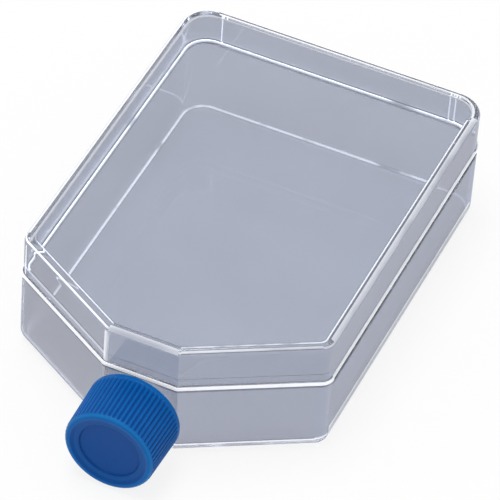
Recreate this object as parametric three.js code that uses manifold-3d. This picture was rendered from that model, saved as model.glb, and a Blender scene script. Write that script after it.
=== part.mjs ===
// Cell culture flask: a clear moulded tray with a slanted shoulder and a neck,
// a clear lid welded onto it, and a ribbed screw cap with a seal liner.
// Millimetres, +Z up. The flask lies on its growth floor with the neck toward -Y.
// The origin is on the ground, under the centre of the whole object.

import * as THREE from 'three';
import { mergeVertices } from 'three/addons/utils/BufferGeometryUtils.js';
import Module from 'manifold-3d';

const wasm = await Module();
wasm.setup();

// ---------------------------------------------------------------- driving sizes

// The body in plan, over the seam ledge
const flaskWidth = 85.0;
const flaskLength = 121.3;
const shoulderLength = 19.3;
const backCornerRadius = 7.6;
const shoulderCornerRadius = 3.8;
const frontCornerRadius = 1.8;

// The tray
const floorThickness = 2.3;
const baseEdgeRadius = 4.0;
const floorCornerRadius = 0.8;
const ledgeHeight = 1.0;
const ledgeReach = 0.25;
const tongueThickness = 0.7;
const tongueHeight = 1.6;

// The lid
const lidHeight = 11.7;
const lidStep = 0.55;
const lidWall = 1.3;
const lidPlate = 1.5;
const lidEdgeRadius = 1.5;
const lidInnerRadius = 1.4;

// The cap, measured along the neck from its open end
const capDiameter = 24.7;
const capTaper = 0.4;
const capLength = 15.3;
const capStandoff = 2.1;
const capWall = 1.25;
const capEndWall = 1.3;
const capEndRadius = 1.3;
const capRimHeight = 1.1;
const capRecessRadius = 7.9;
const capRecessDepth = 0.8;
const gripCount = 60;
const gripDepth = 0.4;

// The neck and the seal
const neckWall = 1.4;
const lipRadius = 0.4;
const linerThickness = 1.0;

// Clearances
const weldGap = 0.1;
const tongueGap = 0.2;
const sealGap = 0.15;
const linerGap = 0.25;
const threadRoom = 1.1;
const capGroundGap = 0.25;
const neckFaceMargin = 0.3;
const neckSeamMargin = 0.5;

// Facets
const cornerSteps = 7;
const roundSteps = 5;
const turnSteps = 72;

// --------------------------------------------------------------- derived sizes

const capRadius = capDiameter / 2;
const capBoreRadius = capRadius - gripDepth - capWall;
const capInnerDepth = capLength - capRecessDepth - capEndWall;
const neckRadius = capBoreRadius - threadRoom;
const neckBoreRadius = neckRadius - neckWall;
const neckAxisHeight = capRadius + capGroundGap;

// The seam runs just above the neck
const seamHeight = neckAxisHeight + neckRadius + neckSeamMargin + ledgeHeight;
const flaskHeight = seamHeight + lidHeight;
const frontHalfWidth = neckRadius + neckFaceMargin;

// Distances in from the ledge's outer face
const trayFace = ledgeReach;
const lidFace = lidStep;
const lidInnerFace = lidFace + lidWall;
const tongueFace = lidInnerFace + tongueGap;
const trayInnerFace = tongueFace + tongueThickness;

// Distances out from the ledge's front face, along the neck
const capTip = capStandoff + capLength;
const linerFace = capStandoff + capInnerDepth - sealGap;
const neckLip = linerFace - linerThickness - sealGap;

// The front face's place, with the whole object centred on the origin
const frontFace = (capTip - flaskLength) / 2;

// ---------------------------------------------------------------------- helpers

// The body's outline, a distance in from the ledge, as one loop of points.
// The corners are turned with half the distance taken off their radius,
// because the walls thicken toward the corners.
function bodyOutline(inset, height) {
  const halfWidth = flaskWidth / 2;
  const slant = Math.atan2(shoulderLength, halfWidth - frontHalfWidth);
  const frontShift = inset * Math.tan(slant / 2);
  const sideShift = inset * Math.tan((Math.PI / 2 - slant) / 2);
  const front = frontFace + inset;
  const shoulder = frontFace + shoulderLength + sideShift;
  const back = frontFace + flaskLength - inset;
  const corners = [
    [frontHalfWidth - frontShift, front, frontCornerRadius],
    [halfWidth - inset, shoulder, shoulderCornerRadius],
    [halfWidth - inset, back, backCornerRadius],
    [inset - halfWidth, back, backCornerRadius],
    [inset - halfWidth, shoulder, shoulderCornerRadius],
    [frontShift - frontHalfWidth, front, frontCornerRadius],
  ];
  const places = corners.map(([x, y]) => new THREE.Vector2(x, y));
  const loop = [];
  corners.forEach(([, , radius], i) => {
    const here = places[i];
    const before = places[(i + places.length - 1) % places.length];
    const after = places[(i + 1) % places.length];
    const kept = Math.max(radius - inset / 2, radius / 4);
    loop.push(...roundCorner(before, here, after, kept));
  });
  return loop.map((p) => new THREE.Vector3(p.x, p.y, height));
}

// Points of an arc that turns the corner from one straight to the next
function roundCorner(before, here, after, radius) {
  const into = here.clone().sub(before).normalize();
  const out = after.clone().sub(here).normalize();
  const turn = Math.atan2(into.cross(out), into.dot(out));
  const start = here.clone().addScaledVector(into, -radius * Math.tan(turn / 2));
  const centre = start.clone().add(new THREE.Vector2(-into.y, into.x).multiplyScalar(radius));
  const spoke = start.clone().sub(centre);
  const points = [];
  for (let i = 0; i <= cornerSteps; i += 1) {
    const angle = (turn * i) / cornerSteps;
    points.push(centre.clone().add(spoke.clone().rotateAround(new THREE.Vector2(), angle)));
  }
  return points;
}

// A quarter round of a section, from one angle to another, as [across, up] pairs
function quarter(across, up, radius, from, to) {
  const points = [];
  for (let i = 0; i <= roundSteps; i += 1) {
    const angle = from + ((to - from) * i) / roundSteps;
    points.push([across + radius * Math.cos(angle), up + radius * Math.sin(angle)]);
  }
  return points;
}

// A closed skin through a stack of loops that have the same number of points
function skin(loops) {
  const count = loops[0].length;
  const positions = loops.flat().flatMap((p) => [p.x, p.y, p.z]);
  const faces = [];
  for (let row = 0; row + 1 < loops.length; row += 1) {
    for (let i = 0; i < count; i += 1) {
      const a = row * count + i;
      const b = row * count + ((i + 1) % count);
      faces.push([a, b, b + count], [a, b + count, a + count]);
    }
  }
  const last = (loops.length - 1) * count;
  const flat = (loop) => loop.map((p) => new THREE.Vector2(p.x, p.y));
  const firstCap = THREE.ShapeUtils.triangulateShape(flat(loops[0]), []);
  const lastCap = THREE.ShapeUtils.triangulateShape(flat(loops[loops.length - 1]), []);
  firstCap.forEach(([a, b, c]) => faces.push([c, b, a]));
  lastCap.forEach(([a, b, c]) => faces.push([last + a, last + b, last + c]));
  const geometry = new THREE.BufferGeometry();
  geometry.setAttribute('position', new THREE.Float32BufferAttribute(positions, 3));
  geometry.setIndex(faces.flat());
  return geometry;
}

// A solid of revolution about Z from [radius, height] pairs
function turned(profile) {
  return new THREE.LatheGeometry(profile.map(([r, h]) => new THREE.Vector2(r, h)), turnSteps)
    .rotateX(Math.PI / 2);
}

function solid(geometry) {
  const bare = geometry.clone();
  bare.deleteAttribute('normal');
  bare.deleteAttribute('uv');
  const merged = mergeVertices(bare);
  return new wasm.Manifold(new wasm.Mesh({
    numProp: 3,
    vertProperties: new Float32Array(merged.attributes.position.array),
    triVerts: new Uint32Array(merged.index.array),
  }));
}

function surface(body) {
  const mesh = body.getMesh();
  const geometry = new THREE.BufferGeometry();
  geometry.setAttribute('position', new THREE.Float32BufferAttribute(mesh.vertProperties, 3));
  geometry.setIndex(Array.from(mesh.triVerts));
  geometry.computeVertexNormals();
  return geometry;
}

// Turns a shape made about +Z so that its axis runs out along the neck, and
// puts its zero height at the ledge's front face
function alongNeck(geometry) {
  return geometry.rotateX(Math.PI / 2).translate(0, frontFace, neckAxisHeight);
}

// ------------------------------------------------------------------------- tray

// Up the outside, over the ledge and the tongue, and down the inside
const traySection = [
  ...quarter(trayFace + baseEdgeRadius, baseEdgeRadius, baseEdgeRadius, -Math.PI / 2, -Math.PI),
  [trayFace, seamHeight - ledgeHeight],
  [0, seamHeight - ledgeHeight],
  [0, seamHeight],
  [tongueFace, seamHeight],
  [tongueFace, seamHeight + tongueHeight],
  [trayInnerFace, seamHeight + tongueHeight],
  ...quarter(
    trayInnerFace + floorCornerRadius,
    floorThickness + floorCornerRadius,
    floorCornerRadius,
    Math.PI,
    Math.PI * 1.5,
  ),
];
const trayShell = solid(skin(traySection.map(([inset, height]) => bodyOutline(inset, height))));

// The neck is rooted in the middle of the front wall
const neckRoot = -(trayFace + trayInnerFace) / 2;
const neckTube = solid(alongNeck(turned([
  [0, neckRoot],
  [neckRadius, neckRoot],
  ...quarter(neckRadius - lipRadius, neckLip - lipRadius, lipRadius, 0, Math.PI / 2),
  [0, neckLip],
])));
const neckBore = solid(alongNeck(turned([
  [0, -2 * trayInnerFace],
  [neckBoreRadius, -2 * trayInnerFace],
  [neckBoreRadius, neckLip + linerThickness],
  [0, neckLip + linerThickness],
])));
const tray = new THREE.Mesh(
  surface(trayShell.add(neckTube).subtract(neckBore)),
  new THREE.MeshStandardMaterial({
    color: 0xc9ced9,
    roughness: 0.06,
    metalness: 0,
    transparent: true,
    opacity: 0.4,
  }),
);
tray.name = 'tray';

// -------------------------------------------------------------------------- lid

// Down the outside, under the skirt, and up the inside to the plate
const lidSection = [
  ...quarter(
    lidFace + lidEdgeRadius,
    flaskHeight - lidEdgeRadius,
    lidEdgeRadius,
    Math.PI / 2,
    Math.PI,
  ),
  [lidFace, seamHeight + weldGap],
  [lidInnerFace, seamHeight + weldGap],
  ...quarter(
    lidInnerFace + lidInnerRadius,
    flaskHeight - lidPlate - lidInnerRadius,
    lidInnerRadius,
    Math.PI,
    Math.PI / 2,
  ),
];
const lid = new THREE.Mesh(
  surface(solid(skin(lidSection.map(([inset, height]) => bodyOutline(inset, height)).reverse()))),
  new THREE.MeshStandardMaterial({
    color: 0xd2d7e0,
    roughness: 0.05,
    metalness: 0,
    transparent: true,
    opacity: 0.35,
  }),
);
lid.name = 'lid';

// -------------------------------------------------------------------------- cap

// One loop of the ribbed wall: each rib has a crest, two flanks and a groove
function ribbedLoop(radius, depth, height) {
  const loop = [];
  for (let i = 0; i < gripCount * 4; i += 1) {
    const angle = ((i - 0.5) * Math.PI * 2) / (gripCount * 4);
    const reach = i % 4 < 2 ? radius : radius - depth;
    loop.push(new THREE.Vector3(reach * Math.cos(angle), reach * Math.sin(angle), height));
  }
  return loop;
}

// The cap's outer radius at a height above its open end
function capRadiusAt(height) {
  return capRadius - (capTaper * height) / capLength;
}

const ribTop = capLength - capEndRadius;
const capOutside = solid(alongNeck(skin([
  ribbedLoop(capRadius, 0, 0),
  ribbedLoop(capRadiusAt(capRimHeight), 0, capRimHeight),
  ribbedLoop(capRadiusAt(capRimHeight + gripDepth), gripDepth, capRimHeight + gripDepth),
  ribbedLoop(capRadiusAt(ribTop - gripDepth), gripDepth, ribTop - gripDepth),
  ...quarter(capRadiusAt(ribTop) - capEndRadius, ribTop, capEndRadius, 0, Math.PI / 2)
    .map(([radius, height]) => ribbedLoop(radius, 0, height)),
]).translate(0, 0, capStandoff)));
const capInside = solid(alongNeck(turned([
  [0, -capRimHeight],
  [capBoreRadius, -capRimHeight],
  [capBoreRadius, capInnerDepth],
  [0, capInnerDepth],
]).translate(0, 0, capStandoff)));
const capRecess = solid(alongNeck(turned([
  [0, capLength - capRecessDepth],
  [capRecessRadius, capLength - capRecessDepth],
  [capRecessRadius + capRecessDepth, capLength + capRecessDepth],
  [0, capLength + capRecessDepth],
]).translate(0, 0, capStandoff)));
const cap = new THREE.Mesh(
  surface(capOutside.subtract(capInside).subtract(capRecess)),
  new THREE.MeshStandardMaterial({ color: 0x1f569d, roughness: 0.42, metalness: 0 }),
);
cap.name = 'cap';

// ------------------------------------------------------------------- seal liner

const liner = new THREE.Mesh(
  alongNeck(turned([
    [0, linerFace - linerThickness],
    [capBoreRadius - linerGap, linerFace - linerThickness],
    [capBoreRadius - linerGap, linerFace],
    [0, linerFace],
  ])),
  new THREE.MeshStandardMaterial({ color: 0xe8e8e2, roughness: 0.7, metalness: 0 }),
);
liner.name = 'seal_liner';

const flask = new THREE.Group();
flask.add(tray, lid, cap, liner);

export default flask;
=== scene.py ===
# %% [markdown]
# # Cell culture flask
# This lesson dresses a finished solid model of a flat cell culture flask. The flask is
# two clear polystyrene mouldings, a tray and a welded lid, with a ribbed screw cap and
# a seal disc inside it. The solid model is loaded first, because every piece made here
# takes its place and its size from it. All lengths are in metres.

# %% Load the solid model
import math

import bmesh
import bpy
from mathutils import Matrix, Vector


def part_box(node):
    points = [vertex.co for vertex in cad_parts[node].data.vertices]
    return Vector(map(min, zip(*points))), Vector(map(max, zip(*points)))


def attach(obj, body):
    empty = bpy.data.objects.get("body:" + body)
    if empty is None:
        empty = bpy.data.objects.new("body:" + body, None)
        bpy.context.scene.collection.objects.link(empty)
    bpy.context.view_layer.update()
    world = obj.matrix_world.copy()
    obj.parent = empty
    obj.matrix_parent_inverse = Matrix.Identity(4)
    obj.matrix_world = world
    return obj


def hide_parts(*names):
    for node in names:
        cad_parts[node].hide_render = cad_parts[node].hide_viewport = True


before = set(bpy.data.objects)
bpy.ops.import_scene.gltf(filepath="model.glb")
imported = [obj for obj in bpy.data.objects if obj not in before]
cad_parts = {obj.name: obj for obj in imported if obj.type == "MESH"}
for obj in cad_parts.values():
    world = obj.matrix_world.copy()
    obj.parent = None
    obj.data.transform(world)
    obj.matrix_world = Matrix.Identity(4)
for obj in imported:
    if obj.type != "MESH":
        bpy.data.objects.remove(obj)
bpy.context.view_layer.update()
MM = 0.001
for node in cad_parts:
    low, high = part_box(node)
    print(node, [round((b - a) / MM, 2) for a, b in zip(low, high)])

# %% [markdown]
# ## Outer sizes
# The outline is measured inward from the seam ledge, which is the widest part of the
# body; the lid stands back from it by LID_STEP. Reading the boxes of the solid model
# keeps the two models in step: if the flask is made longer or taller there, the pieces
# here follow.

# %% Outer sizes
tray_low, tray_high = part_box("tray")
lid_low, lid_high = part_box("lid")
cap_low, cap_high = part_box("cap")
liner_low, liner_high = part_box("seal_liner")

LID_STEP, WELD_GAP = 0.55 * MM, 0.1 * MM
HALF_WIDTH = tray_high.x
BACK = tray_high.y
FRONT = lid_low.y - LID_STEP
SHOULDER = 19.3 * MM
BACK_RADIUS, SHOULDER_RADIUS, FRONT_RADIUS = 7.6 * MM, 3.8 * MM, 1.8 * MM
SEAM = lid_low.z - WELD_GAP
TONGUE_TOP = tray_high.z
TOP = lid_high.z
print("body", round((BACK - FRONT) / MM, 1), "long, seam at", round(SEAM / MM, 2))

# %% [markdown]
# ## Walls and edges
# Moulded boxes have thin, even walls and small roundings, because plastic fills and
# cools best that way. The lid steps in a little from the ledge that carries it, and a
# tongue stands up inside its skirt. EASE is the small rounding on the ledge's edges.
# What lies less than OUTSIDE behind the ledge's edge counts as the outer face of a wall.

# %% Walls and edges
FLOOR = 2.3 * MM
BASE_ROUND = 4.0 * MM
LEDGE_HEIGHT, LEDGE_REACH, EASE = 1.0 * MM, 0.25 * MM, 0.18 * MM
LEDGE_UNDER = SEAM - LEDGE_HEIGHT
LID_WALL, LID_PLATE = 1.3 * MM, 1.5 * MM
LID_ROUND, LID_INNER_ROUND = 1.5 * MM, 1.4 * MM
LID_INNER = LID_STEP + LID_WALL
PLATE_UNDER = TOP - LID_PLATE
TONGUE_GAP, TONGUE = 0.2 * MM, 0.7 * MM
TONGUE_FACE = LID_INNER + TONGUE_GAP
TRAY_INNER = TONGUE_FACE + TONGUE
DEEP, OUTSIDE, HAIR = 8 * MM, 1 * MM, 0.01 * MM
tray_wall = TRAY_INNER - LEDGE_REACH
print("tray wall", round(tray_wall / MM, 2), "lid wall", round(LID_WALL / MM, 2))

# %% [markdown]
# ## Neck and cap sizes
# The cap sets the neck: its bore, the clearance of the thread and the wall of the neck
# follow one from the other, as they do when a closure is designed.

# %% Neck and cap sizes
CAP_RADIUS = (cap_high.x - cap_low.x) / 2
CAP_AXIS = (cap_high.z + cap_low.z) / 2
CAP_OPEN, CAP_END = cap_high.y, cap_low.y
CAP_LENGTH = CAP_OPEN - CAP_END
GRIP_COUNT, CAP_SIDE = 60, 1.65 * MM
CAP_BORE = CAP_RADIUS - CAP_SIDE
NECK_RADIUS = CAP_BORE - 1.1 * MM
NECK_BORE = NECK_RADIUS - 1.4 * MM
NECK_LIP = tray_low.y
FRONT_HALF = NECK_RADIUS + 0.3 * MM
PITCH = 3.0 * MM
print("neck", round(2 * NECK_RADIUS / MM, 2), "across, cap bore", round(2 * CAP_BORE / MM, 2))

# %% [markdown]
# ## Camera
# A long lens from the front right, well above the flask, and a little turned about its
# own axis. The three directions are written out, so the turn is exact. The Standard
# view keeps colours as they are written.

# %% Camera
CAMERA_PLACE = Vector((0.3079, FRONT - 0.7269, 0.8192))
RIGHT = Vector((0.9099, 0.4108, 0.0569))
DOWN = Vector((0.3216, -0.6122, -0.7223))
FORWARD = Vector((-0.2619, 0.6756, -0.6892))
camera_data = bpy.data.cameras.new("camera")
camera_data.sensor_width = 36.0
camera_data.lens = 330.7
camera_data.clip_start, camera_data.clip_end = 0.05, 20.0
camera = bpy.data.objects.new("camera", camera_data)
turn = Matrix((RIGHT, -DOWN, -FORWARD)).transposed()
camera.matrix_world = Matrix.Translation(CAMERA_PLACE) @ turn.to_4x4()
bpy.context.scene.collection.objects.link(camera)
bpy.context.scene.camera = camera
bpy.context.scene.view_settings.view_transform = "Standard"
print("camera", round(CAMERA_PLACE.length, 2), "m away, lens", round(camera_data.lens, 1))

# %% [markdown]
# ## Bounces
# A ray that enters a clear box crosses many faces before it leaves again. With too few
# bounces it is cut off inside and turns black, which shows as dark edges in the glass.
# Forty-eight are enough for this flask: twice as many hardly change it.

# %% Bounces
BOUNCES = 48
cycles = bpy.context.scene.cycles
cycles.max_bounces = cycles.transmission_bounces = cycles.glossy_bounces = BOUNCES
print("bounces", cycles.max_bounces)

# %% [markdown]
# ## A mesh from loops
# Most pieces here are a skin over a stack of equal loops: rings for the turned pieces,
# outlines for the mouldings. Modelling them by hand would give the same shapes, but
# loops keep every face in a known row and column, and the finishes need that later.

# %% A mesh from loops
def link_mesh(name, points, faces):
    mesh = bpy.data.meshes.new(name)
    mesh.from_pydata([tuple(p) for p in points], [], faces)
    obj = bpy.data.objects.new(name, mesh)
    bpy.context.scene.collection.objects.link(obj)
    return obj


def skin(loops):
    count = len(loops[0])
    points = [p for loop in loops for p in loop]
    faces = []
    for row in range(len(loops) - 1):
        for i in range(count):
            a, b = row * count + i, row * count + (i + 1) % count
            faces.append((a, b, b + count, a + count))
    faces.append(tuple(reversed(range(count))))
    faces.append(tuple(range((len(loops) - 1) * count, len(loops) * count)))
    return points, faces


square = [Vector((0, 0, 0)), Vector((1, 0, 0)), Vector((1, 1, 0)), Vector((0, 1, 0))]
print("a box has", len(skin([square, [p + Vector((0, 0, 1)) for p in square]])[1]), "faces")

# %% [markdown]
# ## Smooth and sharp
# Faces that meet at a small angle are shaded as one soft surface, and a larger angle
# stays crisp. A subdivision surface could do this too, but it would move the walls.

# %% Smooth and sharp
def shade(obj, angle=32):
    bm = bmesh.new()
    bm.from_mesh(obj.data)
    bmesh.ops.remove_doubles(bm, verts=bm.verts, dist=1e-7)
    bmesh.ops.recalc_face_normals(bm, faces=bm.faces)
    for face in bm.faces:
        face.smooth = True
    for edge in bm.edges:
        edge.smooth = edge.calc_face_angle(0) < math.radians(angle)
    bm.to_mesh(obj.data)
    bm.free()
    print(obj.name, len(obj.data.polygons), "faces")


# %% [markdown]
# ## Round corners
# One helper turns a sharp corner into an arc. It serves the flask's outline, seen from
# above, and its wall section, seen from the side.

# %% Round corners
def round_corner(before, here, after, radius, steps):
    into, out = (here - before).normalized(), (after - here).normalized()
    bend = math.atan2(into.x * out.y - into.y * out.x, into.dot(out))
    start = here - into * radius * math.tan(abs(bend) / 2)
    centre = start + Vector((-into.y, into.x)) * math.copysign(radius, bend)
    spoke = start - centre
    points = []
    for i in range(steps + 1):
        c, s = math.cos(bend * i / steps), math.sin(bend * i / steps)
        points.append(centre + Vector((spoke.x * c - spoke.y * s, spoke.x * s + spoke.y * c)))
    return points


bend = round_corner(Vector((0, 0)), Vector((1, 0)), Vector((1, 1)), 0.5, 2)
print("a corner of two steps:", [(round(p.x, 2), round(p.y, 2)) for p in bend])

# %% [markdown]
# ## Wall section
# A section is a list of corners, each with its radius, the finish of its rounding, the
# finish of the flat after it and, where wanted, the part of the rounding that gets the
# finish. A narrow strip beside each rounding holds the flats flat, so that the shading
# of the rounding doesn't spread over them.

# %% Wall section
SIDE_STRIP = 0.35 * MM


def soft_section(corners, steps=12):
    places = [Vector((c[0], c[1])) for c in corners]
    points, looks = [places[0]], []
    flat = "plain"
    for i in range(1, len(corners) - 1):
        before, here, after = places[i - 1], places[i], places[i + 1]
        radius, look, next_flat = corners[i][2:5]
        low, high = corners[i][5] if len(corners[i]) > 5 else (0, 1)
        turned = round_corner(before, here, after, radius, steps)
        first_side = min(SIDE_STRIP, (turned[0] - before).length * 0.3)
        last_side = min(SIDE_STRIP, (after - turned[-1]).length * 0.3)
        points.append(turned[0] + (before - turned[0]).normalized() * first_side)
        points += turned
        points.append(turned[-1] + (after - turned[-1]).normalized() * last_side)
        strips = [look if low <= (t + 0.5) / steps <= high else "plain" for t in range(steps)]
        looks += [flat, flat] + strips + [next_flat]
        flat = next_flat
    points.append(places[-1])
    return points, looks + [flat]


bent = soft_section([(0, 1), (0, 0, 0.5, "edge", "plain"), (1, 0)])
print("one rounded corner takes", len(bent[0]), "points")

# %% [markdown]
# ## Outline corners
# Seen from above the flask is a rectangle with two slanted shoulders, so it has six
# corners. An inset moves every side inward by the same amount, which gives the inner
# walls. Scaling the outline would be simpler, but it would make some walls thicker than
# others.

# %% Outline corners
def outline_corners(inset):
    slant = math.atan2(SHOULDER, HALF_WIDTH - FRONT_HALF)
    front_shift = inset * math.tan(slant / 2)
    side_shift = inset * math.tan((math.pi / 2 - slant) / 2)
    x_front, x_side = FRONT_HALF - front_shift, HALF_WIDTH - inset
    y_front, y_side, y_back = FRONT + inset, FRONT + SHOULDER + side_shift, BACK - inset
    return [
        (x_front, y_front, FRONT_RADIUS), (x_side, y_side, SHOULDER_RADIUS),
        (x_side, y_back, BACK_RADIUS), (-x_side, y_back, BACK_RADIUS),
        (-x_side, y_side, SHOULDER_RADIUS), (-x_front, y_front, FRONT_RADIUS),
    ]


print("corners", [(round(x / MM, 1), round(y / MM, 1)) for x, y, _ in outline_corners(0)])

# %% [markdown]
# ## Outline
# The outline goes round the six corners. A few extra points lie beside every corner:
# they hold the shading, and they are the places where the thin upright lines of the
# corners can start.
#
# Each corner is counted together with the run of wall after it, so six names cover the
# whole way round: the right slant, the right side, the rear, the left side, the left
# slant and the nose.

# %% Outline
RIGHT_SLANT, RIGHT_SIDE, REAR, LEFT_SIDE, LEFT_SLANT, NOSE = range(6)
SUPPORTS = (0.3 * MM, 1.3 * MM, 1.65 * MM, 2.85 * MM, 3.2 * MM)
ARC_STEPS = 14
ARC = len(SUPPORTS)
ARC_END = ARC + ARC_STEPS


def outline(inset, height):
    corners = outline_corners(inset)
    places = [Vector((x, y)) for x, y, _ in corners]
    loop = []
    for i, (_, _, radius) in enumerate(corners):
        kept = max(radius - inset / 2, radius / 4)
        before, after = places[i - 1], places[(i + 1) % 6]
        turned = round_corner(before, places[i], after, kept, ARC_STEPS)
        back, on = (before - turned[0]).normalized(), (after - turned[-1]).normalized()
        loop += [turned[0] + back * gap for gap in reversed(SUPPORTS)]
        loop += turned + [turned[-1] + on * gap for gap in SUPPORTS]
    return [Vector((p.x, p.y, height)) for p in loop]


LOOP = len(outline(0, 0))
CORNER = LOOP // 6
print("the outline has", LOOP, "points,", CORNER, "at each corner")

# %% [markdown]
# ## Finishes
# Clear plastic shows its shape by its edges, so each strip of the section carries a
# finish, and each finish becomes a material further on:
#
# - plain: polished plastic that bends the light;
# - edge and gleam: roundings outside and inside, with a glowing painted highlight;
# - bright: hair-thin upright lines by the rear corners, a stronger painted highlight;
# - weld: where lid and tray are melted together and no air is left between them;
# - fused: plastic seen through such a joint, which no longer mirrors;
# - deep: painted shade, a near-black tint for strips seen at a grazing angle.
#
# The far walls are plain plastic too, only greyed a little with painted shade.

# %% Finishes
LOOKS = ["plain", "edge", "gleam", "weld", "fused", "bright", "deep"]
FAR_SHADE = 0.25


def place_on_outline(i):
    run, step = divmod(i, CORNER)
    straight = not ARC <= step < ARC_END
    return ((run - 1) % 6 if step < ARC else run), step, straight


print("point 3 lies before the first corner, on run", place_on_outline(3)[0], "the nose")

# %% [markdown]
# ## Painting the faces
# The rule of a moulding, look_at, is asked once for every face which finish it has. A
# face beside a bright rounding reads darker on the real flask, and here that is painted
# shade: its corners are marked dim, and the plastic's colour follows that mark.

# %% Painting the faces
def paint_faces(body, section, look_at):
    points, looks = section
    dim, painted = [0.0] * (len(points) * LOOP), {look: 0 for look in LOOKS}
    for face in body.data.polygons[:(len(points) - 1) * LOOP]:
        row, i = divmod(face.index, LOOP)
        look = look_at(*place_on_outline(i), points[row], looks[row])
        shining = look in ("edge", "gleam") and looks[row] != "plain"
        amount = 1.0 if shining else FAR_SHADE if look == "far_shade" else 0.0
        finish = "plain" if look == "far_shade" else look
        face.material_index = LOOKS.index(finish)
        painted[finish] += 1
        for point in face.vertices:
            dim[point] = max(dim[point], amount)
    print(body.name, "faces of each finish:", painted)
    return dim


# %% [markdown]
# ## Painting the points
# Five marks ride on the points of a moulding and steer its materials. Dim greys the
# plastic beside a bright edge and along the ledge, as painted shade. Wall and outer tint
# it, glow lights the edges as a painted highlight, and frost takes the polish off the
# lower left slant, where a bright line would cross it. They are numbers that fade from
# point to point, where a finish changes from face to face. Vertex colours could carry
# them too, but named numbers are easier to read.

# %% Painting the points
WALL_DEPTH, LEDGE_SHADE = 4 * MM, 0.62 * MM


def in_front(run, step):
    return run in (NOSE, RIGHT_SLANT, RIGHT_SIDE) or (run == LEFT_SLANT and step >= ARC) \
        or (run == REAR and step <= ARC)


def frosted(run, step, p):
    on_slant = (run == LEFT_SLANT and step >= ARC_END) or (run == NOSE and step < ARC)
    return on_slant and p.x < OUTSIDE and p.y < LEDGE_UNDER


def paint_points(points, dim, glow):
    marks = {"dim": dim, "wall": [], "outer": [], "glow": [], "frost": []}
    for row, p in enumerate(points):
        outer = p.x < OUTSIDE
        on_wall = p.x < WALL_DEPTH and FLOOR < p.y < PLATE_UNDER
        under_ledge = -LEDGE_SHADE < p.y - LEDGE_UNDER < HAIR
        over_ledge = SEAM < p.y < SEAM + WELD_GAP + 1.1 * EASE
        for i in range(LOOP):
            run, step = divmod(i, CORNER)
            # Painted shade: thin dark lines on the outer face just over and under the ledge.
            if outer and (over_ledge or (under_ledge and in_front(run, step))):
                dim[row * LOOP + i] = 1.0
            here, there = glow(run, p)
            marks["wall"].append(1.0 if on_wall else 0.0)
            marks["outer"].append(1.0 if outer else 0.0)
            marks["glow"].append(here + (there - here) * step / (CORNER - 1))
            marks["frost"].append(1.0 if frosted(run, step, p) else 0.0)
    print(sum(1 for amount in dim if amount), "of", len(dim), "points are dimmed")
    return marks


# %% [markdown]
# ## A moulding
# The section is swept round the outline: one loop of the outline for every point of
# the section. Then the faces and the points get their finishes and marks. A second
# helper measures a finished piece.

# %% A moulding
def write_marks(obj, marks):
    for name, values in marks.items():
        obj.data.attributes.new(name, "FLOAT", "POINT").data.foreach_set("value", values)
    print(obj.name, "carries the marks", ", ".join(marks))


def body_mesh(name, section, look_at, glow, materials):
    points = section[0]
    body = link_mesh(name, *skin([outline(p.x, p.y) for p in points]))
    for material in materials:
        body.data.materials.append(material)
    dim = paint_faces(body, section, look_at)
    write_marks(body, paint_points(points, dim, glow))
    shade(body)
    return body


def size_in_mm(obj):
    sides = [[point.co[axis] for point in obj.data.vertices] for axis in range(3)]
    return [round((max(side) - min(side)) / MM, 1) for side in sides]


# %% [markdown]
# ## Node helpers
# Materials are built from nodes in code, so that every value can be read and changed in
# one place. The helper adds a node: its settings are given by name, and each input gets
# either a plain value or a link from another node's socket.

# %% Node helpers
def add(tree, kind, inputs=None, **settings):
    node = tree.nodes.new("ShaderNode" + kind)
    for name, value in settings.items():
        setattr(node, name, value)
    for name, value in (inputs or {}).items():
        if isinstance(value, bpy.types.NodeSocket):
            tree.links.new(value, node.inputs[name])
        else:
            node.inputs[name].default_value = value
    return node


def mark(tree, name):
    return add(tree, "Attribute", attribute_name=name).outputs["Fac"]


def start_material(name):
    material = bpy.data.materials.new(name)
    material.use_nodes = True
    print("material", name)
    return material, material.node_tree, material.node_tree.nodes["Principled BSDF"]


# %% [markdown]
# ## Node groups
# An effect that several plastics share is a node group: it is built once, and each
# material places it with its own values. The sockets of a group are made first, by
# name, and then the nodes inside it are linked to them.

# %% Node groups
def start_group(name, inputs, outputs):
    group = bpy.data.node_groups.new(name, "ShaderNodeTree")
    for side, sockets in (("INPUT", inputs), ("OUTPUT", outputs)):
        for socket, kind in sockets.items():
            group.interface.new_socket(socket, in_out=side, socket_type="NodeSocket" + kind)
    given = group.nodes.new("NodeGroupInput").outputs
    result = group.nodes.new("NodeGroupOutput").inputs
    print("group", name, "gives", ", ".join(outputs))
    return group, given, result


# %% [markdown]
# ## Moulded mottle
# No moulding is perfectly even: flow lines and cooling leave soft clouds in its colour
# and its polish. A noise texture in object coordinates gives them without any image. It
# blends two colours and two roughnesses, and its bare grain can be used as well.

# %% Moulded mottle
mottle, given, result = start_group(
    "moulded_mottle",
    {"Scale": "Float", "Detail": "Float", "Deep": "Color", "Pale": "Color",
     "Smooth": "Float", "Rough": "Float"},
    {"Tone": "Color", "Roughness": "Float", "Grain": "Float"})
grain = add(mottle, "TexNoise", {
    "Vector": add(mottle, "TexCoord").outputs["Object"],
    "Scale": given["Scale"], "Detail": given["Detail"],
}).outputs["Fac"]
tone = add(mottle, "MixRGB", {"Fac": grain, "Color1": given["Deep"], "Color2": given["Pale"]})
rough = add(mottle, "MapRange", {
    "Value": grain, "To Min": given["Smooth"], "To Max": given["Rough"],
})
mottle.links.new(tone.outputs[0], result["Tone"])
mottle.links.new(rough.outputs[0], result["Roughness"])
mottle.links.new(grain, result["Grain"])
print("inside:", len(mottle.nodes), "nodes")
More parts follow.
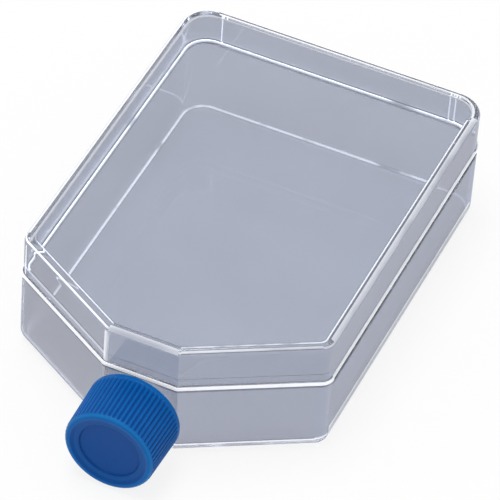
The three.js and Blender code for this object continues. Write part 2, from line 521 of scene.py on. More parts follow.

# %% [markdown]
# ## Moulded walls
# This group reads the marks of a moulding and colours its plastic. The walls carry a
# slightly deeper tint than the plates, and both tints are painted shade. The outer
# faces take on blue where light enters them at a slant: partly because it travels
# further through the plastic there, and partly as painted shade, far deeper than the
# plastic gives, which darkens slanted outer faces such as the right wall, where they
# would otherwise look bright from mirroring the white floor. The points marked dim
# turn grey with painted shade, and the frosted slant loses its polish.

# %% Moulded walls
walls, given, result = start_group(
    "moulded_walls",
    {"Plate": "Color", "Wall": "Color", "Slant": "Float",
     "Mottle": "Color", "Polish": "Float"},
    {"Colour": "Color", "Roughness": "Float"})
body = add(walls, "MixRGB", {
    "Fac": mark(walls, "wall"), "Color1": given["Plate"], "Color2": given["Wall"],
})
# Painted shade at a slant: the outer faces turn a dark blue.
outer = add(walls, "Math", {0: given["Slant"], 1: mark(walls, "outer")}, operation="MULTIPLY")
blue = add(walls, "MixRGB", {
    "Fac": outer.outputs[0], "Color1": body.outputs[0], "Color2": (0.02, 0.047, 0.17, 1),
})
# Painted shade: the points marked dim are multiplied towards dark grey.
lines = add(walls, "MapRange", {"Value": mark(walls, "dim"), "To Max": 0.95})
grey = add(walls, "MixRGB", {
    "Fac": lines.outputs[0], "Color1": blue.outputs[0], "Color2": (0.2, 0.21, 0.24, 1),
}, blend_type="MULTIPLY")
cloudy = add(walls, "MixRGB", {
    "Fac": 1.0, "Color1": grey.outputs[0], "Color2": given["Mottle"],
}, blend_type="MULTIPLY")
satin = add(walls, "MixRGB", {
    "Fac": mark(walls, "frost"), "Color1": given["Polish"], "Color2": (0.3, 0.3, 0.3, 1),
})
walls.links.new(cloudy.outputs[0], result["Colour"])
walls.links.new(satin.outputs[0], result["Roughness"])
print("inside:", len(walls.nodes), "nodes")

# %% [markdown]
# ## Clear plastic
# Polystyrene bends light strongly. The real plastic is nearly clear: its grey-blue tint
# here is painted shade, which stands in for a grey surround seen through it. It is a
# glass: full transmission, with the colour taken once at every face that a ray crosses.
# An absorbing volume would be closer to nature, but the marks could not steer it,
# because they lie on the surface. The slant comes from a Layer Weight node, which stays
# in the material.

# %% Clear plastic
POLYSTYRENE = 1.59
# The plate tint and the wall tints are painted shade for a grey surround seen through.
PLATE_TINT = (0.63, 0.66, 0.735, 1)


def clear_plastic(name, wall_tint, depth):
    material, tree, shader = start_material(name)
    shader.inputs["Transmission Weight"].default_value = 1.0
    shader.inputs["IOR"].default_value = POLYSTYRENE
    cloud = add(tree, "Group", {
        "Scale": 30.0, "Detail": 2.0, "Deep": (0.95, 0.95, 0.95, 1),
        "Pale": (1.05, 1.05, 1.05, 1), "Smooth": 0.0, "Rough": 0.05,
    }, node_tree=mottle)
    slant = add(tree, "MapRange", {
        "Value": add(tree, "LayerWeight", {"Blend": 0.5}).outputs["Facing"],
        "From Min": 0.55, "From Max": 0.8, "To Max": depth,
    })
    wall = add(tree, "Group", {
        "Plate": PLATE_TINT, "Wall": wall_tint, "Slant": slant.outputs[0],
        "Mottle": cloud.outputs["Tone"], "Polish": cloud.outputs["Roughness"],
    }, node_tree=walls)
    tree.links.new(wall.outputs["Colour"], shader.inputs["Base Color"])
    tree.links.new(wall.outputs["Roughness"], shader.inputs["Roughness"])
    return material


tray_clear = clear_plastic("tray_plastic", (0.565, 0.58, 0.645, 1), 1.0)
lid_clear = clear_plastic("lid_plastic", (0.585, 0.605, 0.675, 1), 0.9)
print("both bend light by", POLYSTYRENE)

# %% [markdown]
# ## Edge shine
# A rounding on clear plastic shows as a pale line. Here that line is a painted highlight:
# a pale colour with a glow of its own. It fades along a run and breaks into dashes. The
# mark called glow carries the fading, the mottle's grain breaks it.

# %% Edge shine
shine, given, result = start_group(
    "edge_shine", {"Grain": "Float", "Broken": "Float"}, {"Colour": "Color", "Light": "Color"})
glow = mark(shine, "glow")
lifted = add(shine, "Math", {0: glow, 1: 0.3, 2: given["Grain"]}, operation="MULTIPLY_ADD")
dashes = add(shine, "MapRange", {
    "Value": lifted.outputs[0], "From Min": 0.56, "From Max": 0.66,
})
line = add(shine, "MixRGB", {
    "Fac": given["Broken"], "Color1": glow, "Color2": dashes.outputs[0],
})
# Painted highlight: the marked line turns pale and glows.
pale = add(shine, "MixRGB", {
    "Fac": line.outputs[0], "Color1": (0.42, 0.45, 0.55, 1), "Color2": (0.97, 0.98, 1.0, 1),
})
light = add(shine, "MixRGB", {
    "Fac": line.outputs[0], "Color1": (0, 0, 0, 1), "Color2": (0.95, 0.97, 1.0, 1),
})
shine.links.new(pale.outputs[0], result["Colour"])
shine.links.new(light.outputs[0], result["Light"])
print("inside:", len(shine.nodes), "nodes")

# %% [markdown]
# ## Edge plastics
# The same polystyrene, but cloudier and with a little light of its own. The roundings
# of the real flask show as pale lines. Mirroring and bending alone leave them dark in
# this render, so a small emission makes them pale. It shows in any surround, a dark one
# too, and can be turned down there.

# %% Edge plastics
def edge_plastic(name, strength, broken):
    material, tree, shader = start_material(name)
    shader.inputs["Transmission Weight"].default_value = 0.35
    shader.inputs["IOR"].default_value = POLYSTYRENE
    shader.inputs["Roughness"].default_value = 0.3
    shader.inputs["Emission Strength"].default_value = strength
    cloud = add(tree, "Group", {"Scale": 90.0, "Detail": 2.0}, node_tree=mottle)
    lit = add(tree, "Group", {
        "Grain": cloud.outputs["Grain"], "Broken": broken,
    }, node_tree=shine)
    tree.links.new(lit.outputs["Colour"], shader.inputs["Base Color"])
    tree.links.new(lit.outputs["Light"], shader.inputs["Emission Color"])
    return material


# The glow of these plastics is a painted highlight; the roundings are no lamps.
edge = edge_plastic("edge_plastic", 0.3, 0.15)
gleam = edge_plastic("inner_edge_plastic", 0.8, 0.6)
bright = edge_plastic("corner_edge_plastic", 1.8, 0.0)
print("edges, from weak to strong:", edge.name, gleam.name, bright.name)

# %% [markdown]
# ## Joined plastics
# Where the lid is welded to the tray, light passes from plastic to plastic without
# bending, so these finishes have a refractive index of one and only tint the light. The
# shaded ones are painted shade: a near-black tint for the strips that are seen at a
# grazing angle.

# %% Joined plastics
def joined_plastic(name, pale, deep):
    material, tree, shader = start_material(name)
    shader.inputs["Transmission Weight"].default_value = 1.0
    shader.inputs["IOR"].default_value = 1.0
    shader.inputs["Roughness"].default_value = 0.0
    cloud = add(tree, "Group", {
        "Scale": 200.0, "Detail": 2.0, "Deep": (*deep, 1), "Pale": (*pale, 1),
    }, node_tree=mottle)
    tree.links.new(cloud.outputs["Tone"], shader.inputs["Base Color"])
    return material


weld = joined_plastic("weld_plastic", (1, 1, 1), (0.97, 0.97, 0.98))
tray_fused = joined_plastic("fused_tray_plastic", (0.66, 0.69, 0.77), (0.62, 0.65, 0.72))
lid_fused = joined_plastic("fused_lid_plastic", (0.60, 0.63, 0.70), (0.56, 0.59, 0.66))
# Painted shade: near-black tints that darken strips seen at a grazing angle.
tray_painted_shade = joined_plastic("shaded_tray_plastic", (0.11, 0.115, 0.14), (0.08, 0.085, 0.105))
lid_painted_shade = joined_plastic("shaded_lid_plastic", (0.20, 0.21, 0.24), (0.16, 0.17, 0.20))
tray_finishes = [tray_clear, edge, gleam, weld, tray_fused, bright, tray_painted_shade]
lid_finishes = [lid_clear, edge, gleam, weld, lid_fused, bright, lid_painted_shade]
print(len(tray_finishes), "finishes for the tray,", len(lid_finishes), "for the lid")

# %% [markdown]
# ## Tray section
# The tray is one moulding: floor, walls, ledge and tongue. Its section starts under the
# floor, climbs the outer wall over the round base, steps out to the ledge, rises as the
# tongue and goes down the inner wall. Corners that lie on a flat wall do not bend it:
# they only end one finish and start the next.

# %% Tray section
BASE_BAND, TONGUE_EASE = 2.3 * MM, 0.3 * MM
LEDGE_SHINE, LEDGE_PLAIN = 0.34 * MM, 0.62 * MM
tray_section = soft_section([
    (DEEP, 0),
    (LEDGE_REACH, 0, BASE_ROUND, "edge", "edge", (0.74, 0.84)),
    (LEDGE_REACH, BASE_ROUND + 0.9 * MM, HAIR, "edge", "edge"),
    (LEDGE_REACH, BASE_ROUND + BASE_BAND, HAIR, "edge", "plain"),
    (LEDGE_REACH, LEDGE_UNDER - 2 * MM, HAIR, "plain", "plain"),
    (LEDGE_REACH, LEDGE_UNDER - 0.6 * MM, HAIR, "plain", "plain"),
    (LEDGE_REACH, LEDGE_UNDER, 0.05 * MM, "plain", "plain"),
    (0, LEDGE_UNDER, EASE, "edge", "edge"),
    (0, SEAM, EASE, "edge", "edge"),
    (LEDGE_SHINE, SEAM, HAIR, "edge", "edge"),
    (LEDGE_PLAIN, SEAM, HAIR, "edge", "plain"),
    (TONGUE_FACE, SEAM, 0.1 * MM, "weld", "weld"),
    (TONGUE_FACE, TONGUE_TOP, TONGUE_EASE, "gleam", "gleam"),
    (TRAY_INNER, TONGUE_TOP, 0.35 * MM, "gleam", "plain"),
    (TRAY_INNER, SEAM, HAIR, "plain", "plain"),
    (TRAY_INNER, FLOOR, 0.45 * MM, "gleam", "plain"),
    (DEEP, FLOOR),
])
print("tray section:", len(tray_section[0]), "points")

# %% [markdown]
# ## Tongue finish
# Round the front the tongue is melted into the lid, so it shows no mirror of its own.
# Along the left slant its top stays free and gets the gleam, a painted highlight. The
# rule answers nothing where it has no say.

# %% Tongue finish
def melted(run, straight_run):
    return run in (NOSE, RIGHT_SLANT, RIGHT_SIDE) or (run == LEFT_SLANT and straight_run)


def tongue_look(run, straight_run, p, look):
    on_top = p.y > TONGUE_TOP - TONGUE_EASE - HAIR and p.x < TONGUE_FACE + 0.2 * MM
    if run == LEFT_SLANT and straight_run and on_top:
        return "gleam"
    on_tongue = p.y > SEAM and p.x > TONGUE_FACE - EASE
    on_ledge = look == "plain" and abs(p.y - SEAM) < HAIR and p.x < TONGUE_FACE
    return "weld" if melted(run, straight_run) and (on_tongue or on_ledge) else None


print("nose:", tongue_look(NOSE, True, Vector((TONGUE_FACE, TONGUE_TOP)), "gleam"))

# %% [markdown]
# ## Right wall finish
# The right wall is seen at a grazing angle: there the base gets a strip of painted
# highlight, and the wall and the underside of the ledge get painted shade.

# %% Right wall finish
def right_side_look(p, look):
    if p.x < 2 * MM and 0.5 * BASE_ROUND < p.y < BASE_ROUND - HAIR:
        return "edge"
    under_ledge = p.x < OUTSIDE and -2 * MM < p.y - LEDGE_UNDER < -0.1 * MM
    on_ledge = look == "edge" and LEDGE_UNDER - EASE < p.y < SEAM - 0.3 * MM
    return "deep" if under_ledge or on_ledge else None


print("under the ledge:", right_side_look(Vector((LEDGE_REACH, LEDGE_UNDER - MM)), "plain"))

# %% [markdown]
# ## Tray finishes
# The whole rule of the tray asks the tongue first and the right wall later, and keeps
# what the section says where neither answers. The inner corners round the front are
# fused, and the painted highlight on the edges of the base shows on the right only.

# %% Tray finishes
def tray_look(run, step, straight_run, p, look):
    found = tongue_look(run, straight_run, p, look)
    if found:
        return found
    on_right = run == RIGHT_SIDE and straight_run
    if look == "edge" and p.x > LEDGE_SHINE - HAIR and not on_right:
        return "plain"
    inside = look == "plain" and p.x > TONGUE_FACE and p.y > FLOOR + MM
    past_shoulder = run == RIGHT_SIDE and ARC_END <= step <= ARC_END + 3
    if inside and run not in (REAR, LEFT_SIDE) and (past_shoulder or not straight_run):
        return "fused"
    found = right_side_look(p, look) if on_right else None
    if found:
        return found
    if look == "edge" and BASE_ROUND - HAIR < p.y < BASE_ROUND + BASE_BAND + 0.1 * MM:
        return "edge" if on_right else "plain"
    if look == "edge" and p.y < BASE_ROUND and run not in (RIGHT_SLANT, RIGHT_SIDE):
        return "plain"
    return look


above_base = Vector((LEDGE_REACH, BASE_ROUND + MM))
for run in (RIGHT_SIDE, REAR):
    print("above the base, run", run, "is", tray_look(run, 0, True, above_base, "edge"))

# %% [markdown]
# ## Tray glow
# The painted highlight of an edge changes in strength along the way round. The rule
# gives two values for every corner, one where its curve starts and one where it ends.
# The mark fades between them, and along the straight wall it fades on to the next
# corner. The line at the floor is weaker at the rear, where the mottle breaks it.

# %% Tray glow
TONGUE_GLOW = ((1, 1), (1, 1), (0.9, 0.8), (0.7, 0.6), (0.8, 1), (1, 1))
FLOOR_GLOW = ((1, 1), (1, 1), (0.7, 0.6), (0.42, 0.8), (1, 1), (1, 1))


def tray_glow(run, p):
    if p.y > SEAM + 0.1 * MM:
        return TONGUE_GLOW[run]
    if p.x > TONGUE_FACE and p.y < SEAM - MM:
        return FLOOR_GLOW[run]
    on_base = p.x < 2 * MM and 0.5 * BASE_ROUND < p.y < BASE_ROUND + 3 * MM
    if run in (RIGHT_SIDE, REAR) and on_base:
        strength = 0.4 if p.y > BASE_ROUND + MM else 0.0
        return (1, strength) if run == RIGHT_SIDE else (strength, strength)
    return (1, 1)


tray = body_mesh("tray_moulding", tray_section, tray_look, tray_glow, tray_finishes)
print("tray without neck", size_in_mm(tray))

# %% [markdown]
# ## Turned pieces
# The neck, the cap and the seal disc share one axis. Each is a profile of radius and
# height turned about it, like a bowl on a lathe. A relief adds the ribs or the thread
# to the turned wall. A screw modifier could turn a profile too, but not one that
# changes with the angle.

# %% Turned pieces
def arc(across, up, radius, start, end, steps):
    turns = [start + (end - start) * i / steps for i in range(steps + 1)]
    return [(across + radius * math.cos(t), up + radius * math.sin(t)) for t in turns]


def straight(radius, start, end, spacing=0.2 * MM):
    steps = max(1, round(abs(end - start) / spacing))
    return [(radius, start + (end - start) * i / steps) for i in range(steps + 1)]


def lathe(name, profile, steps=96, relief=None):
    loops = []
    for radius, height in profile:
        loop = []
        for i in range(steps):
            turn = 2 * math.pi * i / steps
            reach = radius + (relief(turn, radius, height) if relief else 0)
            across, up = reach * math.cos(turn), reach * math.sin(turn)
            loop.append(Vector((across, -height, up + CAP_AXIS)))
        loops.append(loop)
    print(name, "turned from", len(profile), "rings of", steps)
    return link_mesh(name, *skin(loops))


# %% [markdown]
# ## Thread
# A closure thread is a low rounded ridge that winds twice round the neck. For a point
# of the wall the helper finds the nearest lap of the ridge and how far off it lies. The
# ridge runs out softly at both ends, so the cap starts on it easily.

# %% Thread
THREAD_START = -CAP_OPEN + 3.55 * MM
THREAD_TURNS, THREAD_TALL, THREAD_HALF = 2, 0.8 * MM, 0.65 * MM


def ease(x):
    x = min(max(x, 0.0), 1.0)
    return x * x * (3 - 2 * x)


def thread_ridge(turn, height, start):
    part = turn / (2 * math.pi)
    lap = min(max(round((height - start) / PITCH - part), 0), THREAD_TURNS - 1)
    off = abs(height - start - PITCH * (part + lap))
    run = min(part + lap, THREAD_TURNS - part - lap)
    return THREAD_TALL * ease((THREAD_HALF - off) / (0.4 * MM)) * ease(run / 0.08)


print("thread", THREAD_TURNS, "turns,", round(THREAD_TALL / MM, 2), "mm tall")

# %% [markdown]
# ## Joining and cutting
# The neck is joined to the tray and bored through with booleans. The exact solver
# keeps the walls closed, and each face keeps the finish it had before the cut.

# %% Joining and cutting
def join_meshes(base, other, operation):
    modifier = base.modifiers.new("cut", "BOOLEAN")
    modifier.operation = operation
    modifier.solver = "EXACT"
    modifier.object = other
    graph = bpy.context.evaluated_depsgraph_get()
    made = bpy.data.meshes.new_from_object(base.evaluated_get(graph))
    base.modifiers.clear()
    base.data = made
    print(operation.lower(), "of", base.name, "and", other.name)
    bpy.data.objects.remove(other)


# %% [markdown]
# ## Neck
# The neck is moulded together with the tray, so it must be one closed solid with it. It
# starts inside the front wall, which gives the union something to hold on to, and the
# bore then goes through neck and wall at once. Its lip is rounded, because the seal
# presses on it.

# %% Neck
LIP = 0.4 * MM
lip, root = -NECK_LIP, -(FRONT + (LEDGE_REACH + TRAY_INNER) / 2)


def neck_thread(turn, radius, height):
    return thread_ridge(turn, height, THREAD_START)


neck = lathe("neck", [
    (NECK_RADIUS, root), *straight(NECK_RADIUS, -FRONT + 1 * MM, lip - LIP),
    *arc(NECK_RADIUS - LIP, lip - LIP, LIP, 0, math.pi / 2, 5)[1:],
], 144, neck_thread)
join_meshes(tray, neck, "UNION")
bore = lathe("bore", [(NECK_BORE, root - 2 * TRAY_INNER), (NECK_BORE, lip + LIP)])
join_meshes(tray, bore, "DIFFERENCE")
shade(tray, 40)
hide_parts("tray")
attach(tray, "flask")
print("tray with neck", size_in_mm(tray))

# %% [markdown]
# ## Lid section
# The lid is a flat plate with a short skirt that stands on the tray's ledge. The lower
# part of the skirt is welded to the tongue, so no air shows between them. The section
# runs from the top plate down the outside of the skirt and back up inside.

# %% Lid section
lid_section = soft_section([
    (DEEP, TOP),
    (LID_STEP, TOP, LID_ROUND, "edge", "plain", (0.0, 0.75)),
    (LID_STEP, SEAM + WELD_GAP, EASE, "plain", "weld"),
    (LID_INNER, SEAM + WELD_GAP, 0.1 * MM, "weld", "weld"),
    (LID_INNER, TONGUE_TOP, HAIR, "weld", "plain"),
    (LID_INNER, PLATE_UNDER, LID_INNER_ROUND, "gleam", "plain", (0.8, 1)),
    (DEEP, PLATE_UNDER),
])
print("lid section:", len(lid_section[0]), "points")

# %% [markdown]
# ## Lid rim
# The rim is the most visible line of the flask. Its painted highlight lies over a
# different part of its rounding on every side, given here as a share of the quarter
# turn from the flat top (0) to the upright skirt (1). At the rear only a thread of it is
# painted bright, and most of the rest gets painted shade.

# %% Lid rim
RIM_DEPTH, RIM_BOTTOM = 3 * MM, TOP - LID_ROUND + HAIR
RIM_BANDS = {RIGHT_SIDE: (-0.1, 0.6), NOSE: (0.1, 0.75), RIGHT_SLANT: (0.3, 0.5)}


def rim_look(run, straight_run, p, look):
    turn = math.acos(min(1, (p.y - TOP + LID_ROUND) / LID_ROUND)) / (math.pi / 2)
    if run == REAR:
        return "edge" if turn < 0.06 else "deep" if turn < 0.55 else "plain"
    # Painted shade: a dark band across the rounding of the right slant.
    if run == RIGHT_SLANT and straight_run and 0.5 < turn < 0.66:
        return "deep"
    low, high = (0.1, 0.42) if run == LEFT_SIDE else (0.35, 0.6)
    if straight_run:
        low, high = RIM_BANDS.get(run, (low, high))
    if p.x < LID_STEP + LID_ROUND + 0.1 * HAIR:
        return "edge" if low < turn < high else "plain"
    return look


print("rim bands on", len(RIM_BANDS), "straight runs")

# %% [markdown]
# ## Lid skirt
# Upright lines of painted highlight run down the outside of the skirt: three hair-thin
# ones on the rear wall, beside its corners, and soft ones at the two corners of the left
# slant. The far walls get a little painted shade, which greys them.

# %% Lid skirt
CORNER_LINES = [(REAR, ARC - 3), (REAR, ARC_END + 2), (REAR, ARC_END + 4)]
FRONT_LINES = [(NOSE, step) for step in range(ARC, ARC_END + 1)]
SLANT_STEPS = (ARC - 1, ARC, ARC + 1, ARC_END - 2, ARC_END - 1)
FRONT_LINES += [(LEFT_SLANT, step) for step in SLANT_STEPS]


def skirt_look(run, step, straight_run):
    if (run, step) in CORNER_LINES:
        return "bright"
    if (run, step) in FRONT_LINES:
        return "edge"
    far = run in (REAR, LEFT_SIDE) or (run == LEFT_SLANT and straight_run)
    return "far_shade" if far else "plain"


print(len(CORNER_LINES), "bright strips,", len(FRONT_LINES), "soft ones")

# %% [markdown]
# ## Lid finishes
# The rule goes over the lid from the outside in: first the rim, then the inner face of
# the skirt, which is melted to the tongue round the front, then the gleam of the inner
# rounding, a painted highlight, and last the outside of the skirt.

# %% Lid finishes
def lid_look(run, step, straight_run, p, look):
    if p.x < RIM_DEPTH and p.y > RIM_BOTTOM and look in ("edge", "plain"):
        return rim_look(run, straight_run, p, look)
    melted_here = run not in (REAR, LEFT_SIDE) and not (run == LEFT_SLANT and straight_run)
    if abs(p.x - LID_INNER) < EASE and melted_here:
        return "fused"
    # Painted shade: under the plate the right wall gets the near-black deep finish.
    under_plate = look == "plain" and p.x > OUTSIDE and p.y < PLATE_UNDER
    if under_plate and run == RIGHT_SIDE and straight_run:
        return "deep"
    if look == "gleam":
        return "plain" if run in (REAR, LEFT_SIDE) else "gleam"
    if look != "plain" or p.x > OUTSIDE:
        return look
    return skirt_look(run, step, straight_run)


rim_edge = Vector((LID_STEP + LID_ROUND, TOP))
for run in (RIGHT_SIDE, LEFT_SIDE):
    print("top of the rim, run", run, "is", lid_look(run, 0, True, rim_edge, "edge"))

# %% [markdown]
# ## Lid glow
# As on the tray, every corner gets one value where its curve starts and one where it
# ends. On the right and at the rear the rim's painted highlight also fades down its
# rounding.

# %% Lid glow
RIM_GLOW = ((0.2, 0.6), (0.45, 0.35), (0.5, 0.6), (0.8, 1.0), (1.0, 0.95), (0.95, 0.2))
INNER_GLOW = ((-0.15, 0.5), (0.5, 1.0), (1.0, 0.0), (0.0, 0.4), (0.4, 0.8), (0.8, -0.15))


def lid_glow(run, p):
    on_rim = p.x < RIM_DEPTH and TOP - LID_ROUND < p.y < TOP - 0.1 * MM
    if run in (RIGHT_SIDE, REAR) and on_rim:
        fall = max(0.0, 1 - 1.5 * (TOP - p.y) / LID_ROUND)
        return (0.45 * fall, 0.35 * fall) if run == RIGHT_SIDE else (0.35 * fall, 0.6)
    inner = p.x > OUTSIDE and p.y < PLATE_UNDER + 0.5 * MM
    return INNER_GLOW[run] if inner else RIM_GLOW[run]


lid = body_mesh("lid_moulding", lid_section, lid_look, lid_glow, lid_finishes)
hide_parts("lid")
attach(lid, "flask")
print("lid", size_in_mm(lid))

# %% [markdown]
# ## Cap plastic
# A coloured polyolefin with a soft sheen, moulded in a tool with a fine grain. The
# mottle drifts the blue a little between the flow lines. The grooves between the ribs
# and the dished end are darker with painted shade, and the ring round the end is paler
# with a painted highlight; both are marks on the mesh. The grain is far too fine to
# model, so a bump carries it.

# %% Cap plastic
cap_plastic, tree, shader = start_material("cap_plastic")
shader.inputs["Specular IOR Level"].default_value = 0.12
flow = add(tree, "Group", {
    "Scale": 180.0, "Detail": 3.0, "Deep": (0.0, 0.100, 0.375, 1),
    "Pale": (0.0, 0.140, 0.475, 1), "Smooth": 0.28, "Rough": 0.4,
}, node_tree=mottle)
# Painted shade: the groove mark darkens the valleys between the ribs and the dished end.
groove_shaded = add(tree, "MixRGB", {
    "Fac": mark(tree, "groove"), "Color1": flow.outputs["Tone"],
    "Color2": (0.001, 0.058, 0.27, 1),
})
# Painted highlight: the paler ring round the end and the step round the recess.
crested = add(tree, "MixRGB", {
    "Fac": mark(tree, "crest"), "Color1": groove_shaded.outputs[0],
    "Color2": (0.008, 0.165, 0.46, 1),
})
skin_grain = add(tree, "Group", {"Scale": 2600.0, "Detail": 2.0}, node_tree=mottle)
bump = add(tree, "Bump", {
    "Height": skin_grain.outputs["Grain"], "Strength": 0.12, "Distance": 0.05 * MM,
})
tree.links.new(crested.outputs[0], shader.inputs["Base Color"])
tree.links.new(flow.outputs["Roughness"], shader.inputs["Roughness"])
tree.links.new(bump.outputs["Normal"], shader.inputs["Normal"])
print("inside:", len(tree.nodes), "nodes")

# %% [markdown]
# ## Cap ribs
# Sixty ribs run the length of the wall, between a plain rim and the rounded end, and
# give fingers a grip on a wet cap. They are a wave on the turned wall. The power makes
# the crests broader than the grooves, and the wave fades out towards both ends.

# %% Cap ribs
TAPER, RIM, END_ROUND, RIB_DEPTH = 0.4 * MM, 1.1 * MM, 1.3 * MM, 0.42 * MM
open_at, end_at = -CAP_OPEN, -CAP_END
rib_top = end_at - END_ROUND


def cap_reach(height):
    return CAP_RADIUS - TAPER * (height - open_at) / CAP_LENGTH


def rib_wave(turn):
    return (0.5 - 0.5 * math.cos(GRIP_COUNT * turn)) ** 1.3


def rib_fade(height):
    starts = ease((height - open_at - RIM) / (0.5 * MM))
    return starts * ease((rib_top + 0.9 * MM - height) / (1.0 * MM))


print("ribs", GRIP_COUNT, "at", round(2 * math.pi * CAP_RADIUS / GRIP_COUNT / MM, 2), "mm")

# %% [markdown]
# ## Cap relief
# The same relief cuts the ribs outside and raises the thread inside. The cap's thread
# sits half a pitch away from the neck's, so the two never touch on the way out.

# %% Cap relief
CAP_OUTSIDE = CAP_BORE + 0.7 * MM


def cap_relief(turn, radius, height):
    if radius > CAP_OUTSIDE:
        return -RIB_DEPTH * rib_fade(height) * rib_wave(turn)
    if radius > CAP_BORE - 0.1 * MM:
        return -thread_ridge(turn, height, THREAD_START - PITCH / 2)
    return 0


groove = cap_relief(math.pi / GRIP_COUNT, CAP_RADIUS, (open_at + end_at) / 2)
print("groove", round(groove / MM, 2), "mm")

# %% [markdown]
# ## Cap profile
# The profile starts at the seal inside, comes out along the bore, turns over the open
# rim and goes back along the outside to the end. The end is dished round a shallow
# recess, as moulded caps are, so that it stands on its rim. The innermost ring is tiny
# and closed by one small face.

# %% Cap profile
RECESS, RECESS_DEPTH = 7.7 * MM, 1.2 * MM
PIN = 0.3 * MM
inner_end = -liner_low.y
end_reach = cap_reach(rib_top)
inside = [
    (PIN, inner_end),
    (CAP_BORE - 0.5 * MM, inner_end), (CAP_BORE - 0.15 * MM, inner_end - 0.15 * MM),
    *straight(CAP_BORE, inner_end - 0.5 * MM, open_at + 0.3 * MM),
    (CAP_BORE + 0.25 * MM, open_at + 0.05 * MM), (CAP_BORE + 0.4 * MM, open_at),
    (CAP_RADIUS - 0.25 * MM, open_at), (CAP_RADIUS - 0.07 * MM, open_at + 0.07 * MM),
]
wall = straight(0, open_at + 0.25 * MM, open_at + RIM + 0.6 * MM)
wall += straight(0, open_at + 2.4 * MM, rib_top - 0.6 * MM, 1.2 * MM)
outside = [(cap_reach(height), height) for _, height in wall]
dished_end = [
    *arc(end_reach - END_ROUND, rib_top, END_ROUND, 0, math.pi * 0.62, 16),
    (RECESS + 1.9 * MM, end_at - 0.55 * MM), (RECESS + 1.6 * MM, end_at - 0.62 * MM),
    *arc(RECESS + 0.7 * MM, end_at - 1.0 * MM, 0.35 * MM, math.pi / 2, math.pi * 0.95, 6),
    *arc(RECESS, end_at - RECESS_DEPTH + 0.3 * MM, 0.3 * MM, 0, -math.pi / 2, 6),
    (PIN, end_at - RECESS_DEPTH),
]
cap_profile = inside + outside + dished_end
CAP_STEPS = GRIP_COUNT * 8
cap = lathe("screw_cap", cap_profile, CAP_STEPS, cap_relief)
print("cap", size_in_mm(cap))

# %% [markdown]
# ## Cap marks
# Two marks go to the cap's plastic. The groove mark is painted shade, for the valleys
# between the ribs and the dished end. The other is a painted highlight, for the rounded
# ring round the end and, more faintly, for the step round the recess.

# %% Cap marks
# Painted shade for the dish and painted highlight for the step round the recess.
DISH_SHADE, STEP_HIGHLIGHT = 0.85, 0.55


def cap_marks(radius, height):
    on_wall = rib_fade(height) if radius > CAP_OUTSIDE else 0
    in_dish = height > inner_end + 0.1 * MM and radius < end_reach - END_ROUND - 0.4 * MM
    on_ring = ease(1 - abs(radius - end_reach + 0.45 * MM) / (0.5 * MM))
    waves = [on_wall * rib_wave(2 * math.pi * i / CAP_STEPS) for i in range(CAP_STEPS)]
    on_step = STEP_HIGHLIGHT * ease(1 - abs(radius - RECESS - 1.2 * MM) / (0.7 * MM))
    ring = max(on_ring, on_step) if height > rib_top + 0.5 * MM else 0
    least = DISH_SHADE if in_dish else 0
    return [max(least, wave) for wave in waves], [ring] * CAP_STEPS


marks = {"groove": [], "crest": []}
for radius, height in cap_profile:
    grooves, crests = cap_marks(radius, height)
    marks["groove"] += grooves
    marks["crest"] += crests
write_marks(cap, marks)
cap.data.materials.append(cap_plastic)
shade(cap, 60)
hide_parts("cap")
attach(cap, "cap")
print("deepest groove mark", round(max(marks["groove"]), 2))

# %% [markdown]
# ## Liner foam
# The seal is a pale foamed disc. Cut foam shows small closed cells, and a Voronoi
# texture has just that pattern: it drives the colour and a bump together.

# %% Liner foam
foam, tree, shader = start_material("liner_foam")
shader.inputs["Roughness"].default_value = 0.75
cells = add(tree, "TexVoronoi", {
    "Vector": add(tree, "TexCoord").outputs["Object"], "Scale": 3500.0,
}).outputs["Distance"]
pale = add(tree, "MixRGB", {
    "Fac": cells, "Color1": (0.80, 0.80, 0.76, 1), "Color2": (0.66, 0.66, 0.62, 1),
})
bump = add(tree, "Bump", {"Height": cells, "Strength": 0.4, "Distance": 0.1 * MM})
tree.links.new(pale.outputs[0], shader.inputs["Base Color"])
tree.links.new(bump.outputs["Normal"], shader.inputs["Normal"])
print("inside:", len(tree.nodes), "nodes")

# %% [markdown]
# ## Seal liner
# The disc lies loose in the end of the cap: it travels out with the cap, and the cap
# turns about it. Its face carries the shallow ring that the lip of the neck presses
# into it, and its rims are rounded a little.

# %% Seal liner
LINER_RADIUS = (liner_high.x - liner_low.x) / 2
LINER_ROUND, PRESSED = 0.2 * MM, 0.12 * MM
face, back = -liner_high.y, -liner_low.y
ring = (NECK_RADIUS + NECK_BORE) / 2
liner = lathe("seal_disc", [
    (PIN, face), (ring - 0.9 * MM, face), (ring - 0.5 * MM, face + PRESSED),
    (ring + 0.5 * MM, face + PRESSED), (ring + 0.9 * MM, face),
    *arc(LINER_RADIUS - LINER_ROUND, face + LINER_ROUND, LINER_ROUND, -math.pi / 2, 0, 4),
    *arc(LINER_RADIUS - LINER_ROUND, back - LINER_ROUND, LINER_ROUND, 0, math.pi / 2, 4),
    (PIN, back),
])
liner.data.materials.append(foam)
shade(liner, 40)
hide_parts("seal_liner")
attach(liner, "liner")
print("liner", size_in_mm(liner))

# %% [markdown]
# ## White surround
# A white world lights the flask from all sides, like a tent of paper round a product on
# a table. It is weaker for rays that leave a matt surface, which keeps the shadow on the
# floor visible while the clear plastic still mirrors pure white.

# %% White surround
world = bpy.data.worlds.new("world")
bpy.context.scene.world = world
world.use_nodes = True
background = world.node_tree.nodes["Background"]
background.inputs["Color"].default_value = (1, 1, 1, 1)
ray = add(world.node_tree, "LightPath").outputs["Is Diffuse Ray"]
strength = add(world.node_tree, "MapRange", {"Value": ray, "To Min": 1.0, "To Max": 0.6})
world.node_tree.links.new(strength.outputs[0], background.inputs["Strength"])
print("surround", background.inputs["Color"].default_value[:3])

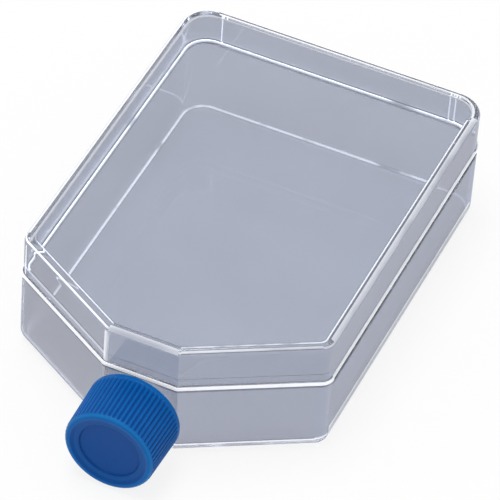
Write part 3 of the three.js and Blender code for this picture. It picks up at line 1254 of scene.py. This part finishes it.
# %% [markdown]
# ## Floor
# The floor is a matt white sheet. Where the camera sees it, directly, in a mirror or
# through the plastic, most of it is a plain white glow, and only its matt share takes
# the flask's soft shadow. A matt sheet alone turns grey round the flask, and the clear
# plastic over it turns dark.

# %% Floor
FLOOR_HALF = 3
floor = link_mesh("floor", [
    (-FLOOR_HALF, -FLOOR_HALF, 0), (FLOOR_HALF, -FLOOR_HALF, 0),
    (FLOOR_HALF, FLOOR_HALF, 0), (-FLOOR_HALF, FLOOR_HALF, 0),
], [(0, 1, 2, 3)])
floor.location.z = -0.2 * MM
floor_paint, tree, shader = start_material("floor_paint")
shader.inputs["Base Color"].default_value = (0.97, 0.97, 0.97, 1)
shader.inputs["Roughness"].default_value = 1.0
shader.inputs["Specular IOR Level"].default_value = 0.0
ray = add(tree, "LightPath").outputs
seen = add(tree, "Math", {
    0: ray["Is Camera Ray"], 1: ray["Is Transmission Ray"],
}, operation="MAXIMUM")
seen = add(tree, "Math", {0: seen.outputs[0], 1: ray["Is Glossy Ray"]}, operation="MAXIMUM")
share = add(tree, "Math", {0: seen.outputs[0], 1: 0.85}, operation="MULTIPLY")
sheet = add(tree, "MixShader", {
    0: share.outputs[0], 1: shader.outputs["BSDF"],
    2: add(tree, "Emission").outputs["Emission"],
})
tree.links.new(sheet.outputs["Shader"], tree.nodes["Material Output"].inputs["Surface"])
floor.data.materials.append(floor_paint)
print("floor", 2 * FLOOR_HALF, "m wide")

# %% [markdown]
# ## Lamp
# One broad lamp hangs above, a little to the left and to the front, like a softbox. It
# brightens the cap and the floor, and because it is broad its shadow is soft.

# %% Lamp
lamp_data = bpy.data.lights.new("lamp", "AREA")
lamp_data.shape = "RECTANGLE"
lamp_data.size, lamp_data.size_y = 0.8, 0.5
lamp_data.energy = 7.5
lamp = bpy.data.objects.new("lamp", lamp_data)
lamp.location = (-0.15, -0.05, 1.25)
lamp.rotation_euler = (-lamp.location).to_track_quat("-Z", "Y").to_euler()
bpy.context.scene.collection.objects.link(lamp)
print("lamp", lamp_data.energy, "watts,", round(lamp.location.length, 2), "m away")
